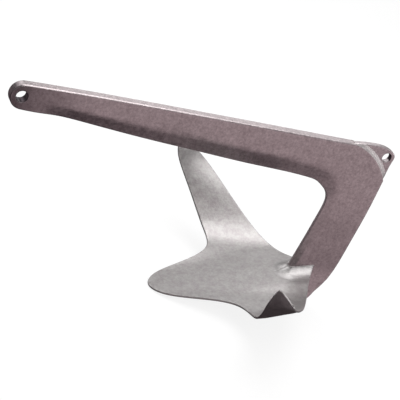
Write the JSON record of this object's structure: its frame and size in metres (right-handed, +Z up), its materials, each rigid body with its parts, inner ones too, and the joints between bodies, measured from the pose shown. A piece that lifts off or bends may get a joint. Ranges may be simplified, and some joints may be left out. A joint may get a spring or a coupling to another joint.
{
  "type": "claw anchor",
  "caption": "Galvanised claw anchor: J-shaped bevelled shank with a shackle eye, a tripping eye at the crown, and a dished three-palm claw.",
  "frame": {"origin": "bottom centre of the box, on the surface that the claw's front tip touches with the shank level", "axes": "+X from the shackle eye to the crown along the shank, +Z up, +Y to port; symmetric about the plane Y = 0"},
  "size_m": [0.5623, 0.4071, 0.2737],
  "materials": {
    "shank_steel": "hot-dip galvanised over a rough forged surface, dull",
    "claw_steel": "hot-dip galvanised plate, satin",
    "lug_steel": "hot-dip galvanised plate, dull",
    "keel_steel": "hot-dip galvanised plate, dull",
    "weld_metal": "dressed weld under hot-dip zinc, satin"
  },
  "bodies": {
    "root": {"shank": "shank_steel", "claw": "claw_steel", "tripping_lug": "lug_steel", "keel_rib": "keel_steel", "foot_weld_port": "weld_metal", "foot_weld_starboard": "weld_metal", "keel_weld_port": "weld_metal", "keel_weld_starboard": "weld_metal", "lug_weld_port": "weld_metal", "lug_weld_starboard": "weld_metal"}
  },
  "joints": []
}
